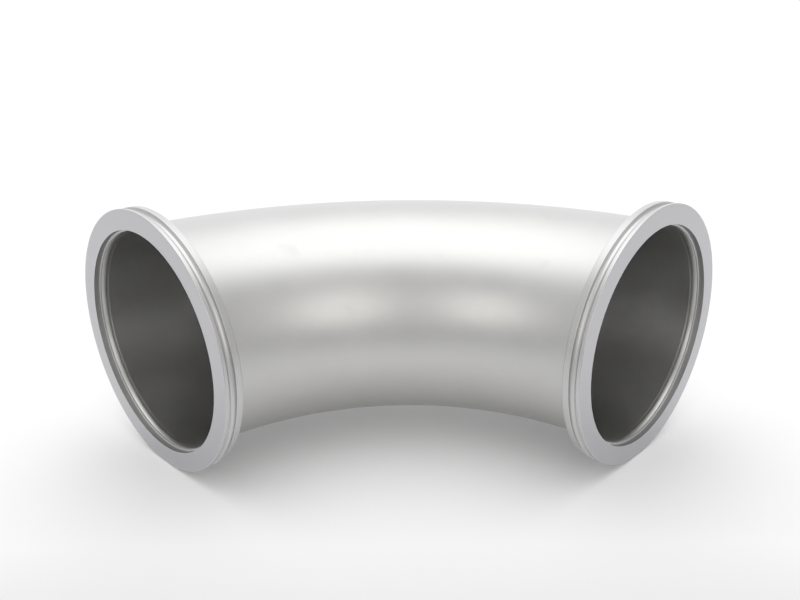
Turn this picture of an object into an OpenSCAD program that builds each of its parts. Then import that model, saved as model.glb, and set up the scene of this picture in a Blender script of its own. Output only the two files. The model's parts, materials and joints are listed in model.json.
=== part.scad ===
// Ninety-degree vacuum pipe elbow with two clamp flanges.
// The bend lies flat in the XY plane. The origin is the middle of port A's sealing face,
// port A opens towards -X, and port B opens towards -Y.

/* [Tube] */
// Outside diameter of the tube
tube_d = 154; // [140:1:155]
// Wall thickness of the tube
tube_wall = 2; // [1.5:0.5:4]
// Radius of the bend, to the centreline of the tube
bend_r = 225; // [140:5:500]

/* [Flange] */
// Outside diameter of the flange rim
flange_d = 180; // [170:1:220]
// Thickness of the flange
flange_t = 12; // [11:0.5:20]
// Break on both outer edges of the rim
rim_chamfer = 0.5; // [0.2:0.1:1]
// Diameter of the centring recess in the sealing face
recess_d = 153; // [152:0.5:160]
// Depth of the centring recess
recess_depth = 4.3; // [2:0.1:4.9]
// Radius of the round groove in the rim
groove_r = 2.5; // [1:0.1:4]
// Distance from the sealing face to the middle of the groove
groove_depth = 5; // [4.6:0.1:6]

/* [Welded joint] */
// Distance from the sealing face to the back of the flange's inner lip
lip_depth = 5.1; // [4.5:0.1:6.5]
// Step from the bore of the tube out to the bore of the lip
lip_step = 0.5; // [0.1:0.1:0.9]
// Width of the weld bead along the port
weld_w = 4.9; // [3.5:0.1:5.5]
// Height of the bead's crown above the straight line between its two toes
weld_crown = 0.5; // [0.2:0.1:0.9]
// Clearance all round between the tube and the flange's socket
socket_gap = 0.1; // [0.1:0.05:0.3]

/* [Hidden] */
$fn = 96;

// Distance from each sealing face to the point where the two port axes cross
centre_to_face = bend_r + flange_t;
bore_r = tube_d / 2 - tube_wall;
lip_r = bore_r + lip_step;
socket_r = tube_d / 2 + socket_gap;
tube_end_depth = lip_depth + weld_w;
// Length of straight tube inside each flange
stub = flange_t - tube_end_depth;
// Straight line between the two toes of the weld bead, and the radius of the arc over it
toe_line = sqrt(weld_w * weld_w + lip_step * lip_step);
crown_r = (toe_line * toe_line / 4 + weld_crown * weld_crown) / (2 * weld_crown);

// Puts something drawn on the Z axis, with its outer face at z = 0, onto port A.
module at_port_a() {
    rotate([0, 90, 0]) children();
}

// The same for port B, at the far end of the bend.
module at_port_b() {
    translate([centre_to_face, -centre_to_face, 0])
        rotate([-90, 0, 0]) children();
}

module tube_section() {
    difference() {
        circle(d = tube_d);
        circle(r = bore_r);
    }
}

module tube_stub() {
    translate([0, 0, tube_end_depth])
        linear_extrude(stub) tube_section();
}

module bend() {
    translate([flange_t, -bend_r, 0])
        rotate_extrude(angle = 90)
            translate([bend_r, 0]) tube_section();
}

// Half section of the flange: x is the radius, y is the depth from the sealing face.
module flange_section() {
    rim_r = flange_d / 2;
    difference() {
        polygon([
            [recess_d / 2, 0],
            [rim_r - rim_chamfer, 0],
            [rim_r, rim_chamfer],
            [rim_r, flange_t - rim_chamfer],
            [rim_r - rim_chamfer, flange_t],
            [socket_r, flange_t],
            [socket_r, lip_depth],
            [lip_r, lip_depth],
            [lip_r, recess_depth],
            [recess_d / 2, recess_depth]
        ]);
        translate([rim_r, groove_depth]) circle(r = groove_r);
    }
}

// Half section of the weld bead: it fills the socket between the lip and the tube's end,
// and its inside is an arc that passes over both toes.
module weld_section() {
    toe_middle = [bore_r + lip_step / 2, lip_depth + weld_w / 2];
    outwards = [weld_w, lip_step] / toe_line;
    inner_limit = bore_r - 2 * weld_crown;
    intersection() {
        translate([inner_limit, lip_depth]) square([socket_r - inner_limit, weld_w]);
        translate(toe_middle + (crown_r - weld_crown) * outwards) circle(r = crown_r);
    }
}

module flange() {
    rotate_extrude() flange_section();
}

module weld_bead() {
    rotate_extrude() weld_section();
}

module elbow_tube() {
    color([0.74, 0.74, 0.73])
        union() {
            bend();
            at_port_a() tube_stub();
            at_port_b() tube_stub();
        }
}

module flange_a() {
    color([0.69, 0.69, 0.71]) at_port_a() flange();
}

module flange_b() {
    color([0.69, 0.69, 0.71]) at_port_b() flange();
}

module weld_bead_a() {
    color([0.78, 0.78, 0.76]) at_port_a() weld_bead();
}

module weld_bead_b() {
    color([0.78, 0.78, 0.76]) at_port_b() weld_bead();
}

elbow_tube();
flange_a();
flange_b();
weld_bead_a();
weld_bead_b();
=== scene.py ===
import json
import math

import bpy
import numpy as np
from mathutils import Matrix, Vector


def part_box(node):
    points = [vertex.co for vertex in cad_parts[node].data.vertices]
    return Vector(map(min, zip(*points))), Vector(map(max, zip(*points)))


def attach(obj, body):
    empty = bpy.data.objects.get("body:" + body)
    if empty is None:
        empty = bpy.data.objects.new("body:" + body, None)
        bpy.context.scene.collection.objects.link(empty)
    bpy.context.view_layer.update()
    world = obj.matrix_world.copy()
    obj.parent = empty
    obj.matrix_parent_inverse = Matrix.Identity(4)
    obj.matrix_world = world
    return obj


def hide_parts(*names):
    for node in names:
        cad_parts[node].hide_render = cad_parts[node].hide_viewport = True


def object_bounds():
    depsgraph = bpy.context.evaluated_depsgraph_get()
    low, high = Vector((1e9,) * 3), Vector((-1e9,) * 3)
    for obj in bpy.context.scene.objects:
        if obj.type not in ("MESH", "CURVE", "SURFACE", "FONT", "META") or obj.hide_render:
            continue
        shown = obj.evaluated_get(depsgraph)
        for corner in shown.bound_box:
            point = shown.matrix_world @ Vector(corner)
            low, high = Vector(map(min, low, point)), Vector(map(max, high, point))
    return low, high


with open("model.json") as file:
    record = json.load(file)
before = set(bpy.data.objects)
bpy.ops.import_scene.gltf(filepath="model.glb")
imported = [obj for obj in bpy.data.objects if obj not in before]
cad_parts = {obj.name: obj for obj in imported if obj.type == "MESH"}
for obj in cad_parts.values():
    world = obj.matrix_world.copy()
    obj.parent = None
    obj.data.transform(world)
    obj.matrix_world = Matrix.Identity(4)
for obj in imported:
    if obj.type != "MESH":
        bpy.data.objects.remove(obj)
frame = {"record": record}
cad_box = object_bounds()

MM = 0.001

# ---------------------------------------------------------------- sizes, from the frame
flange_lo, flange_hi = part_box("flange_a")
far_flange_lo, far_flange_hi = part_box("flange_b")
tube_lo, tube_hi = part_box("elbow_tube")
bead_lo, bead_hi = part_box("weld_bead_a")
mounts = {mount["name"]: mount for mount in frame["record"]["mounts"]}
recess = mounts["port_a_recess"]["dims"]

RIM_R = flange_hi.z
FLANGE_T = flange_hi.x - flange_lo.x
RECESS_R = recess["r_mm"] * MM
RECESS_DEPTH = recess["length_mm"] * MM
TUBE_R = tube_hi.z
TUBE_END = tube_lo.x
SOCKET_R = bead_hi.z
LIP_DEPTH = bead_lo.x
PORT_B = Vector(((far_flange_lo.x + far_flange_hi.x) / 2, far_flange_lo.y, 0.0))
BEND_R = PORT_B.x - FLANGE_T
BEND_CENTRE = Vector((FLANGE_T, PORT_B.y + FLANGE_T, 0.0))
BEND_LENGTH = BEND_R * math.pi / 2
FLOOR_Z = flange_lo.z

# Sizes that no box shows. They are the CAD model's own.
TUBE_WALL = 2.0 * MM
LIP_STEP = 0.5 * MM
WELD_CROWN = 0.5 * MM
GROOVE_R = 2.5 * MM
GROOVE_DEPTH = 5.0 * MM

BORE_R = TUBE_R - TUBE_WALL
LIP_R = BORE_R + LIP_STEP

# ---------------------------------------------------------------- details that the CAD model leaves out
WELD_CREST_AT = 0.75            # the crest's place, from 0 at the lip to 1 at the end of the tube
WELD_INSET = 0.02 * MM          # keeps the bead's hidden side off the socket's wall
RIPPLE_PITCH = 1.5 * MM
RIPPLE_HEIGHT = 0.03 * MM
RIPPLE_LAG = 1.2 * MM           # how far a crescent's tips trail its middle
RIPPLE_SKEW = 0.7               # below 1, a crescent rises faster than it falls
START_HEIGHT = 0.12 * MM        # the swelling where the bead starts and stops
START_ANGLE = 4.9               # where that is round the bore, in radians
START_SPREAD = 0.035            # half its width, in radians

TUBE_STEPS = 256
FLANGE_STEPS = 384
WELD_STEPS = 2560
BEND_STATIONS = 145

# ---------------------------------------------------------------- camera, floor and light
middle = (cad_box[0] + cad_box[1]) / 2
CAMERA_AZIMUTH = math.radians(-45.98)
CAMERA_ELEVATION = math.radians(21.5)
CAMERA_ROLL = math.radians(-0.36)
CAMERA_DISTANCE = 0.5583
CAMERA_AIM = middle + Vector((1.8, -7.4, -9.9)) * MM
CAMERA_LENS = 33.75
CAMERA_SENSOR = 36
CAMERA_SHIFT = (-0.0128, 0.0278)

FLOOR_HALF_WIDTH = 150.0
FLOOR_GLOW = 0.08
FLOOR_TURNS_GREY = (0.16, 0.34)     # metres from the middle of the object, towards the camera

# Soft round glows in the studio: name, azimuth from the camera, elevation, radius inside which it is
# full, radius at which it has faded (degrees), radiance, colour.
GLOWS = [
    ("overhead", 180, 87, 20, 36, 0.83, (1.0, 1.0, 1.0)),
    ("overhead_wide", 180, 86, 30, 50, 0.58, (1.0, 1.0, 1.0)),
    ("rear", 180, 28, 10, 45, 0.26, (0.96, 0.99, 1.02)),
    ("rear_horizon", 180, 0, 35, 65, 0.49, (1.0, 1.0, 1.0)),
    ("front", 0, 14, 10, 55, 0.28, (1.01, 1.0, 0.98)),
    ("front_left", -33, 16, 6, 24, 0.72, (1.02, 1.0, 0.95)),
    ("front_right", 27, 16, 6, 24, 0.55, (1.02, 1.0, 0.95)),
    ("front_right_wide", 35, 20, 10, 40, 0.21, (1.02, 1.0, 0.95)),
    ("left", -90, 30, 20, 60, 0.30, (1.0, 1.0, 1.0)),
    ("right", 90, 30, 20, 60, 0.19, (1.0, 1.0, 1.0)),
]
AMBIENT = 0.455


def towards(azimuth, elevation):
    """The direction at that azimuth and elevation from the object. Azimuth 0 is towards -Y."""
    flat = math.cos(elevation)
    return Vector((math.sin(azimuth) * flat, -math.cos(azimuth) * flat, math.sin(elevation)))


# ---------------------------------------------------------------- axes
# Each port's own axes: the sealing face is at z = 0 and +z runs into the port.
PORT_A_AXIS = Matrix(((0, 0, 1), (0, 1, 0), (-1, 0, 0))).to_4x4()
PORT_B_AXIS = Matrix.Translation(PORT_B) @ Matrix(((1, 0, 0), (0, 0, 1), (0, -1, 0))).to_4x4()


def straight(depth):
    """Centre, and the two directions across, of a straight axis at a depth from its face."""
    return np.array((0.0, 0.0, depth)), np.array((1.0, 0.0, 0.0)), np.array((0.0, 1.0, 0.0))


def bent(along):
    """The same for the tube's centreline, by the length along it from port A's sealing face."""
    past_start = along - FLANGE_T
    on_bend = min(max(past_start, 0.0), BEND_LENGTH)
    turn = on_bend / BEND_R
    out = np.array((math.sin(turn), math.cos(turn), 0.0))
    ahead = np.array((math.cos(turn), -math.sin(turn), 0.0))
    centre = np.array(BEND_CENTRE) + BEND_R * out + (past_start - on_bend) * ahead
    return centre, out, np.array((0.0, 0.0, 1.0))


# ---------------------------------------------------------------- outlines
def arc_points(centre, radius, start, end, steps):
    """Points on a circular arc, angles in degrees."""
    angles = np.radians(np.linspace(start, end, steps + 1))
    return [(centre[0] + radius * math.cos(a), centre[1] + radius * math.sin(a)) for a in angles]


def rounded(corners, steps=6):
    """A closed outline from (depth, radius, rounding) corners, and each point's share of edge wear and
    painted edge highlight.
    """
    points = []
    worn_and_highlit = []
    for i, (depth, radius, rounding) in enumerate(corners):
        here = np.array((depth, radius))
        if rounding == 0:
            points.append(here)
            worn_and_highlit.append(0.0)
            continue
        before = np.array(corners[i - 1][:2]) - here
        after = np.array(corners[(i + 1) % len(corners)][:2]) - here
        before /= np.linalg.norm(before)
        after /= np.linalg.norm(after)
        half = math.acos(float(np.clip(before @ after, -1, 1))) / 2
        inward = (before + after) / np.linalg.norm(before + after)
        centre = here + inward * rounding / math.sin(half)
        reach = rounding / math.tan(half)
        first = here + before * reach - centre
        last = here + after * reach - centre
        swing = math.pi - 2 * half
        for t in np.linspace(0, 1, steps + 1):
            spoke = first * math.sin((1 - t) * swing) + last * math.sin(t * swing)
            points.append(centre + spoke / np.linalg.norm(spoke) * rounding)
            # the middle of each rounding gets the most: partly rubbed wear, partly painted edge highlight
            worn_and_highlit.append(math.sin(math.pi * t))
    return points, worn_and_highlit


def outline_normals(points):
    """Outward normals of a closed outline. Sides weigh by their length, so long flats stay flat."""
    ahead = np.roll(points, -1, axis=0) - points
    side = np.stack([-ahead[:, 1], ahead[:, 0]], axis=1)
    normals = side + np.roll(side, 1, axis=0)
    return normals / np.linalg.norm(normals, axis=1, keepdims=True)


def flange_outline():
    """The flange, each edge with its own rounding. The groove's arc stops short of its rounded edges."""
    groove = arc_points((GROOVE_DEPTH, RIM_R), GROOVE_R, 187, 353, 28)
    corners = [
        (0, RECESS_R, 0.3 * MM),
        (0, RIM_R, 0.45 * MM),
        (GROOVE_DEPTH - GROOVE_R, RIM_R, 0.25 * MM),
        *[(depth, radius, 0) for depth, radius in groove],
        (GROOVE_DEPTH + GROOVE_R, RIM_R, 0.25 * MM),
        (FLANGE_T, RIM_R, 0.5 * MM),
        (FLANGE_T, SOCKET_R, 0.35 * MM),
        (LIP_DEPTH, SOCKET_R, 0.1 * MM),
        (LIP_DEPTH, LIP_R, 0.12 * MM),
        (RECESS_DEPTH, LIP_R, 0.15 * MM),
        (RECESS_DEPTH, RECESS_R, 0.2 * MM),
    ]
    return rounded(corners)


def tube_outline():
    """The tube's wall, by the length along its centreline."""
    length = 2 * FLANGE_T + BEND_LENGTH
    stations = np.linspace(FLANGE_T, length - FLANGE_T, BEND_STATIONS)
    edge = 0.15 * MM
    corners = [
        (TUBE_END, BORE_R, edge),
        (TUBE_END, TUBE_R, edge),
        *[(station, TUBE_R, 0) for station in stations],
        (length - TUBE_END, TUBE_R, edge),
        (length - TUBE_END, BORE_R, edge),
        *[(station, BORE_R, 0) for station in stations[::-1]],
    ]
    return rounded(corners, steps=3)


def weld_outline():
    """The bead: a long swell from the lip to its crest, then a short slope down to the bore of the tube."""
    crest_depth = LIP_DEPTH + WELD_CREST_AT * (TUBE_END - LIP_DEPTH)
    crest_r = (LIP_R + BORE_R) / 2 - WELD_CROWN
    slope = []
    for t in np.linspace(1, 0, 12, endpoint=False):
        drop = (1 - math.cos(math.pi * t)) / 2
        slope.append((crest_depth + t * (TUBE_END - crest_depth), crest_r + drop * (BORE_R - crest_r)))
    swell = []
    for t in np.linspace(0, 1, 13):
        climb = math.cos(math.pi / 2 * t)
        swell.append((crest_depth - t * (crest_depth - LIP_DEPTH), LIP_R - climb * (LIP_R - crest_r)))
    back = [(LIP_DEPTH, SOCKET_R - WELD_INSET), (TUBE_END, SOCKET_R - WELD_INSET)]
    outline = slope + swell + back
    return outline, [0.0] * len(outline)


def weld_ripple(depth, radius, angles):
    """Soft overlapping crescents round the bead, and the small swelling where it starts and stops."""
    if radius > (LIP_R + SOCKET_R) / 2:
        return np.zeros_like(angles)
    across = (depth - LIP_DEPTH) / (TUBE_END - LIP_DEPTH) * 2 - 1
    lag = RIPPLE_LAG * across * across
    # Two slow waves keep the crescents from being all as wide.
    wander = 0.15 * np.sin(angles * 17) + 0.1 * np.sin(angles * 41 + 2)
    along = np.mod((angles * BORE_R + lag) / RIPPLE_PITCH + wander, 1.0)
    crescents = RIPPLE_HEIGHT * (1 - np.cos(2 * math.pi * along ** RIPPLE_SKEW)) / 2
    swelling = START_HEIGHT * np.exp(-((angles - START_ANGLE) / START_SPREAD) ** 2)
    return (1 - across * across) * (crescents - swelling)


# ---------------------------------------------------------------- meshes
def ring_faces(rows, steps):
    """Quads between neighbouring rows of points, closed both ways."""
    faces = []
    for row in range(rows):
        here = row * steps
        after = (row + 1) % rows * steps
        for j in range(steps):
            k = (j + 1) % steps
            faces.append((here + j, here + k, after + k, after + j))
    return faces


def turned(name, outline, worn_and_highlit, axis, steps, ripple=None):
    """A closed skin: an outline of (depth, radius) points carried round an axis, straight or bent."""
    outline = np.array(outline)
    angles = np.linspace(0, 2 * math.pi, steps, endpoint=False)
    vertices = []
    normals = []
    for (depth, radius), (normal_depth, normal_radius) in zip(outline, outline_normals(outline)):
        centre, across, up = axis(depth)
        ahead = np.cross(across, up)
        spokes = np.outer(np.cos(angles), across) + np.outer(np.sin(angles), up)
        radii = np.full(steps, radius)
        if ripple:
            radii += ripple(depth, radius, angles)
        vertices.append(centre + spokes * radii[:, None])
        normals.append(normal_radius * spokes + normal_depth * ahead)
    mesh = bpy.data.meshes.new(name)
    mesh.from_pydata(np.concatenate(vertices).tolist(), [], ring_faces(len(outline), steps))
    mesh.shade_smooth()
    if not ripple:
        mesh.normals_split_custom_set_from_vertices(np.concatenate(normals).tolist())
    # each point's share of edge brightening: partly rubbed wear, partly painted highlight on every rounded
    # edge
    edge_rub_and_highlight = mesh.attributes.new("edge_wear_and_highlight", "FLOAT", "POINT")
    edge_rub_and_highlight.data.foreach_set("value", np.repeat(worn_and_highlit, steps).astype(np.float32))
    piece = bpy.data.objects.new(name, mesh)
    bpy.context.scene.collection.objects.link(piece)
    return piece


# ---------------------------------------------------------------- shader nodes
def new_material(name, metallic=1.0):
    material = bpy.data.materials.new(name)
    material.use_nodes = True
    tree = material.node_tree
    shader = tree.nodes["Principled BSDF"]
    shader.inputs["Metallic"].default_value = metallic
    return material, tree, shader


def add(tree, kind, **settings):
    """A new node of that kind, with its settings."""
    node = tree.nodes.new(kind)
    for key, value in settings.items():
        setattr(node, key, value)
    return node


def noise(tree, vector, scale, detail, roughness=0.5, dimensions="3D"):
    node = add(tree, "ShaderNodeTexNoise", noise_dimensions=dimensions)
    node.inputs["Scale"].default_value = scale
    node.inputs["Detail"].default_value = detail
    node.inputs["Roughness"].default_value = roughness
    tree.links.new(vector, node.inputs["Vector"])
    return node.outputs["Fac"]


def remap(tree, value, source, target):
    """Carries the value from the range (low, high) of source to that of target, and clamps it there."""
    node = add(tree, "ShaderNodeMapRange", clamp=True)
    node.inputs["From Min"].default_value = source[0]
    node.inputs["From Max"].default_value = source[1]
    node.inputs["To Min"].default_value = target[0]
    node.inputs["To Max"].default_value = target[1]
    tree.links.new(value, node.inputs["Value"])
    return node.outputs["Result"]


def combine(tree, operation, first, second=0.0):
    """Arithmetic on two values; each may be fixed or come from a node."""
    node = add(tree, "ShaderNodeMath", operation=operation)
    for value, socket in zip((first, second), node.inputs):
        if isinstance(value, (int, float)):
            socket.default_value = value
        else:
            tree.links.new(value, socket)
    return node.outputs[0]


def tint(tree, factor, first, second):
    """Blends from the first colour to the second; each may be fixed or come from a node."""
    node = add(tree, "ShaderNodeMix", data_type="RGBA")
    for colour, socket in ((first, node.inputs[6]), (second, node.inputs[7])):
        if isinstance(colour, tuple):
            socket.default_value = (*colour, 1)
        else:
            tree.links.new(colour, socket)
    tree.links.new(factor, node.inputs[0])
    return node.outputs[2]


def bump(tree, height, distance, strength, normal=None):
    """The surface's normal, roughened by a height; normal is what an earlier bump gave."""
    node = add(tree, "ShaderNodeBump")
    node.inputs["Distance"].default_value = distance
    node.inputs["Strength"].default_value = strength
    tree.links.new(height, node.inputs["Height"])
    if normal:
        tree.links.new(normal, node.inputs["Normal"])
    return node.outputs["Normal"]


# ---------------------------------------------------------------- materials
def blasted_steel():
    """Fine bead-blasted stainless steel: an even grain, soft clouding, and a few faint handling marks."""
    material, tree, shader = new_material("blasted_steel")
    place = add(tree, "ShaderNodeTexCoord").outputs["Object"]
    clouds = noise(tree, place, scale=24, detail=4, roughness=0.55)
    mottle = noise(tree, place, scale=170, detail=3, roughness=0.6)
    grain = noise(tree, place, scale=4200, detail=2, roughness=0.6)
    pits = noise(tree, place, scale=1500, detail=1)
    marks = remap(tree, noise(tree, place, scale=46, detail=2), (0.68, 0.78), (0, 1))

    cloudy = remap(tree, clouds, (0.3, 0.7), (0, 1))
    colour = tint(tree, cloudy, (0.562, 0.560, 0.554), (0.588, 0.585, 0.578))
    colour = tint(tree, combine(tree, "MULTIPLY", marks, 0.22), colour, (0.52, 0.512, 0.50))
    tree.links.new(colour, shader.inputs["Base Color"])

    uneven = combine(tree, "ADD", clouds, combine(tree, "MULTIPLY", mottle, 0.5))
    rough = remap(tree, uneven, (0.5, 1.0), (0.31, 0.37))
    rough = combine(tree, "ADD", rough, combine(tree, "MULTIPLY", marks, 0.03))
    tree.links.new(rough, shader.inputs["Roughness"])

    shape = bump(tree, grain, distance=0.02 * MM, strength=0.35)
    shape = bump(tree, pits, distance=0.03 * MM, strength=0.25, normal=shape)
    tree.links.new(shape, shader.inputs["Normal"])
    return material


def turned_steel():
    """Stainless steel finished on a lathe: fine rings about the port's axis, and every rounded edge,
    concave ones too, painted brighter: partly rubbed wear, partly a painted highlight.

    The sealing face is a little darker than the rest, and the bored walls inside it are duller.
    """
    material, tree, shader = new_material("turned_steel")
    place = add(tree, "ShaderNodeTexCoord").outputs["Object"]
    split = add(tree, "ShaderNodeSeparateXYZ")
    tree.links.new(place, split.inputs[0])
    x, y, z = split.outputs
    squares = combine(tree, "ADD", combine(tree, "MULTIPLY", x, x), combine(tree, "MULTIPLY", y, y))
    radius = combine(tree, "SQRT", squares)
    rings = add(tree, "ShaderNodeCombineXYZ")
    tree.links.new(radius, rings.inputs[0])
    tree.links.new(z, rings.inputs[1])
    fine = noise(tree, rings.outputs[0], scale=5200, detail=2, roughness=0.6, dimensions="2D")
    wide = noise(tree, rings.outputs[0], scale=900, detail=2, dimensions="2D")
    clouds = noise(tree, place, scale=30, detail=3)
    edge_rub_and_highlight = add(tree, "ShaderNodeAttribute", attribute_name="edge_wear_and_highlight").outputs["Fac"]
    sealing_face = remap(tree, z, (0.1 * MM, 0.3 * MM), (1, 0))
    bored = remap(tree, radius, (RECESS_R + 0.1 * MM, RECESS_R + 0.4 * MM), (0.14, 0))

    cloudy = remap(tree, clouds, (0.3, 0.7), (0, 1))
    colour = tint(tree, cloudy, (0.570, 0.568, 0.566), (0.592, 0.590, 0.588))
    colour = tint(tree, sealing_face, colour, (0.492, 0.490, 0.508))
    # painted highlight: every rounded edge, concave corners included, is lighter in colour; only partly
    # rubbed wear
    colour = tint(tree, combine(tree, "MULTIPLY", edge_rub_and_highlight, 0.5), colour, (0.66, 0.66, 0.66))
    tree.links.new(colour, shader.inputs["Base Color"])

    rough = remap(tree, wide, (0.3, 0.7), (0.29, 0.37))
    rough = combine(tree, "SUBTRACT", rough, combine(tree, "MULTIPLY", edge_rub_and_highlight, 0.08))
    rough = combine(tree, "ADD", rough, bored)
    tree.links.new(rough, shader.inputs["Roughness"])

    shape = bump(tree, fine, distance=0.012 * MM, strength=0.4)
    shape = bump(tree, wide, distance=0.02 * MM, strength=0.3, normal=shape)
    tree.links.new(shape, shader.inputs["Normal"])
    return material


def weld_metal():
    """Bright weld metal, with a faint straw tint and duller patches in places."""
    material, tree, shader = new_material("weld_metal")
    place = add(tree, "ShaderNodeTexCoord").outputs["Object"]
    patches = noise(tree, place, scale=60, detail=3)
    grain = noise(tree, place, scale=3000, detail=2)
    straw = remap(tree, patches, (0.35, 0.7), (0, 1))
    colour = tint(tree, straw, (0.56, 0.56, 0.56), (0.58, 0.57, 0.55))
    tree.links.new(colour, shader.inputs["Base Color"])
    tree.links.new(remap(tree, patches, (0.3, 0.7), (0.32, 0.38)), shader.inputs["Roughness"])
    tree.links.new(bump(tree, grain, distance=0.01 * MM, strength=0.3), shader.inputs["Normal"])
    return material


def floor_paper():
    """Matte white paper that turns grey in front, where the tube mirrors it as a dark band."""
    material, tree, shader = new_material("floor_paper", metallic=0.0)
    shader.inputs["Roughness"].default_value = 0.9
    shader.inputs["Specular IOR Level"].default_value = 0.15
    place = add(tree, "ShaderNodeTexCoord").outputs["Object"]
    ahead = add(tree, "ShaderNodeVectorMath", operation="DOT_PRODUCT")
    tree.links.new(place, ahead.inputs[0])
    ahead.inputs[1].default_value = towards(CAMERA_AZIMUTH, 0)
    far_out = remap(tree, ahead.outputs["Value"], FLOOR_TURNS_GREY, (0, 1))
    tooth = noise(tree, place, scale=700, detail=3)
    paper = tint(tree, tooth, (0.79, 0.79, 0.795), (0.81, 0.81, 0.815))
    colour = tint(tree, far_out, paper, (0.44, 0.44, 0.44))
    tree.links.new(colour, shader.inputs["Base Color"])
    shader.inputs["Emission Color"].default_value = (1, 1, 1, 1)
    shader.inputs["Emission Strength"].default_value = FLOOR_GLOW
    return material


# ---------------------------------------------------------------- pieces, floor, camera and light
def dress(piece, node, material, place=None):
    """Gives a piece its place and finish, hangs it under the root body, and hides the CAD node that it
    stands for.
    """
    if place is not None:
        piece.matrix_world = place
    piece.data.materials.append(material)
    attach(piece, "root")
    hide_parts(node)


def make_pieces():
    blasted = blasted_steel()
    machined = turned_steel()
    welded = weld_metal()
    tube = turned("bent_tube", *tube_outline(), bent, TUBE_STEPS)
    dress(tube, "elbow_tube", blasted)
    for port, place in (("a", PORT_A_AXIS), ("b", PORT_B_AXIS)):
        ring = turned("clamp_flange_" + port, *flange_outline(), straight, FLANGE_STEPS)
        dress(ring, "flange_" + port, machined, place)
        bead = turned("root_weld_" + port, *weld_outline(), straight, WELD_STEPS, weld_ripple)
        dress(bead, "weld_bead_" + port, welded, place)


def make_floor():
    mesh = bpy.data.meshes.new("floor")
    signs = ((-1, -1), (1, -1), (1, 1), (-1, 1))
    corners = [(x * FLOOR_HALF_WIDTH, y * FLOOR_HALF_WIDTH, 0) for x, y in signs]
    mesh.from_pydata(corners, [], [(0, 1, 2, 3)])
    mesh.materials.append(floor_paper())
    floor = bpy.data.objects.new("floor", mesh)
    floor.location = (middle.x, middle.y, FLOOR_Z)
    bpy.context.scene.collection.objects.link(floor)


def make_camera():
    data = bpy.data.cameras.new("camera")
    data.lens = CAMERA_LENS
    data.sensor_width = CAMERA_SENSOR
    data.shift_x, data.shift_y = CAMERA_SHIFT
    data.clip_start = 0.01
    data.clip_end = 500
    camera = bpy.data.objects.new("camera", data)
    back = towards(CAMERA_AZIMUTH, CAMERA_ELEVATION)
    turn = (-back).to_track_quat("-Z", "Y").to_matrix().to_4x4() @ Matrix.Rotation(CAMERA_ROLL, 4, "Z")
    camera.matrix_world = Matrix.Translation(CAMERA_AIM + back * CAMERA_DISTANCE) @ turn
    bpy.context.scene.collection.objects.link(camera)
    bpy.context.scene.camera = camera


def make_world():
    """The studio: an even ambient light, to which each glow adds its own."""
    world = bpy.data.worlds.new("studio")
    world.use_nodes = True
    tree = world.node_tree
    looking = add(tree, "ShaderNodeTexCoord").outputs["Generated"]
    total = None
    for name, azimuth, elevation, full, faded, radiance, colour in GLOWS:
        nearness = add(tree, "ShaderNodeVectorMath", operation="DOT_PRODUCT", name=name)
        tree.links.new(looking, nearness.inputs[0])
        out = towards(CAMERA_AZIMUTH + math.radians(azimuth), math.radians(elevation))
        nearness.inputs[1].default_value = out
        fade = add(tree, "ShaderNodeMapRange", interpolation_type="SMOOTHSTEP")
        fade.inputs["From Min"].default_value = math.cos(math.radians(faded))
        fade.inputs["From Max"].default_value = math.cos(math.radians(full))
        tree.links.new(nearness.outputs["Value"], fade.inputs["Value"])
        glow = add(tree, "ShaderNodeVectorMath", operation="MULTIPLY_ADD")
        glow.inputs[0].default_value = Vector(colour) * radiance
        tree.links.new(fade.outputs["Result"], glow.inputs[1])
        if total:
            tree.links.new(total, glow.inputs[2])
        else:
            glow.inputs[2].default_value = (AMBIENT, AMBIENT, AMBIENT)
        total = glow.outputs["Vector"]
    tree.links.new(total, tree.nodes["Background"].inputs["Color"])
    bpy.context.scene.world = world


make_pieces()
make_floor()
make_camera()
make_world()
bpy.context.scene.view_settings.view_transform = "Standard"
